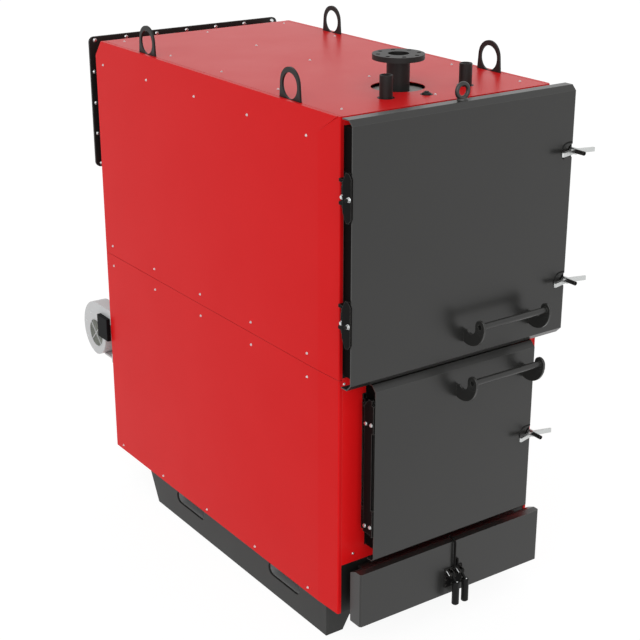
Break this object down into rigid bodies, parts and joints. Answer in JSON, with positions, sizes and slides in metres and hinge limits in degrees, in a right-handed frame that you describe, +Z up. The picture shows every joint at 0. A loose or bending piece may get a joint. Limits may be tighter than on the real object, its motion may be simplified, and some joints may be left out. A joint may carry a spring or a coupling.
{
  "type": "industrial boiler",
  "caption": "Tall solid-fuel heating boiler in folded sheet casing on a skid base, with hinged cleaning and firing doors, a clamped ash drawer, roof fittings, smoke box and rear fan.",
  "frame": {"origin": "on the floor below the middle of the casing, at the underside of the base's middle channel", "axes": "+Z up, +X to the right as seen from the doors, +Y from the doors to the rear"},
  "size_m": [1.151, 2.3895, 2.284],
  "materials": {
    "casing_red": "semi-gloss powder coat",
    "base_grey": "satin powder coat",
    "boiler_black": "matte heat-proof paint",
    "door_grey": "fine matte powder coat",
    "galvanised": "bright zinc",
    "grip_black": "fine matte",
    "fan_silver": "satin cast",
    "motor_black": "satin paint",
    "cast_iron": "rough cast"
  },
  "bodies": {
    "boiler": {"base_side_left": "base_grey", "base_side_right": "base_grey", "base_front": "base_grey", "base_rear": "base_grey", "base_cross": "base_grey", "body_floor": "boiler_black", "water_wall_left": "boiler_black", "water_wall_right": "boiler_black", "water_wall_rear": "boiler_black", "water_deck_top": "boiler_black", "smoke_deck": "boiler_black", "firebox_crown": "boiler_black", "front_plate_lower": "boiler_black", "front_plate_upper": "boiler_black", "lifting_rail_left": "boiler_black", "lifting_rail_right": "boiler_black", "smoke_box": "boiler_black", "smoke_box_cover": "boiler_black", "flue_spigot": "boiler_black", "supply_pipe": "boiler_black", "return_pipe": "boiler_black", "socket_left": "boiler_black", "socket_right": "boiler_black", "sensor_pocket": "boiler_black", "upper_hinge_bracket": "boiler_black", "lower_hinge_bracket": "boiler_black", "side_panel_left_lower": "casing_red", "side_panel_left_upper": "casing_red", "side_panel_right_lower": "casing_red", "side_panel_right_upper": "casing_red", "roof_panel": "casing_red", "front_panel": "casing_red", "rear_panel_lower": "casing_red", "rear_panel_upper": "casing_red", "grate": "cast_iron", "fan_housing": "fan_silver", "fan_motor": "motor_black", "fan_terminal_box": "motor_black"},
    "upper_door": {"upper_door_cover": "door_grey", "upper_door_core": "boiler_black", "upper_door_handle": "door_grey", "upper_hinge_leaf_low": "door_grey", "upper_hinge_leaf_high": "door_grey", "upper_door_stud_low": "galvanised", "upper_door_stud_high": "galvanised", "lifting_eye": "galvanised"},
    "lower_door": {"lower_door_cover": "door_grey", "lower_door_core": "boiler_black", "lower_door_handle": "door_grey", "lower_hinge_leaf": "door_grey", "lower_door_stud": "galvanised"},
    "ash_drawer": {"ash_drawer_front": "door_grey", "ash_tray": "boiler_black", "toggle_base": "galvanised"},
    "upper_nut_low": {"upper_wing_nut_low": "galvanised"},
    "upper_nut_high": {"upper_wing_nut_high": "galvanised"},
    "lower_nut": {"lower_wing_nut": "galvanised"},
    "toggle_left": {"toggle_lever_left": "grip_black"},
    "toggle_right": {"toggle_lever_right": "grip_black"},
    "fan_rotor": {"fan_wheel": "fan_silver"}
  },
  "joints": [
    {"name": "upper_door_hinge", "type": "hinge", "parent": "boiler", "child": "upper_door", "pos_m": [-0.505, -0.985, 1.6575], "axis": [0, 0, -1], "range_deg": [0, 110]},
    {"name": "lower_door_hinge", "type": "hinge", "parent": "boiler", "child": "lower_door", "pos_m": [-0.39, -0.969, 0.7995], "axis": [0, 0, -1], "range_deg": [0, 95]},
    {"name": "ash_drawer_slide", "type": "slide", "parent": "boiler", "child": "ash_drawer", "axis": [0, -1, 0], "range_m": [0, 0.9]},
    {"name": "upper_nut_low_turn", "type": "hinge", "parent": "upper_door", "child": "upper_nut_low", "pos_m": [0.522, -1.06, 1.392], "axis": [0, -1, 0], "continuous": true},
    {"name": "upper_nut_high_turn", "type": "hinge", "parent": "upper_door", "child": "upper_nut_high", "pos_m": [0.522, -1.06, 1.916], "axis": [0, -1, 0], "continuous": true},
    {"name": "lower_nut_turn", "type": "hinge", "parent": "lower_door", "child": "lower_nut", "pos_m": [0.39, -1.054, 0.756], "axis": [0, -1, 0], "continuous": true},
    {"name": "toggle_left_lever", "type": "hinge", "parent": "ash_drawer", "child": "toggle_left", "pos_m": [-0.022, -1.066, 0.243], "axis": [-1, 0, 0], "range_deg": [0, 95]},
    {"name": "toggle_right_lever", "type": "hinge", "parent": "ash_drawer", "child": "toggle_right", "pos_m": [0.027, -1.066, 0.243], "axis": [-1, 0, 0], "range_deg": [0, 95]},
    {"name": "fan_spin", "type": "hinge", "parent": "boiler", "child": "fan_rotor", "pos_m": [-0.45, 1.1, 0.7], "axis": [1, 0, 0], "continuous": true}
  ]
}
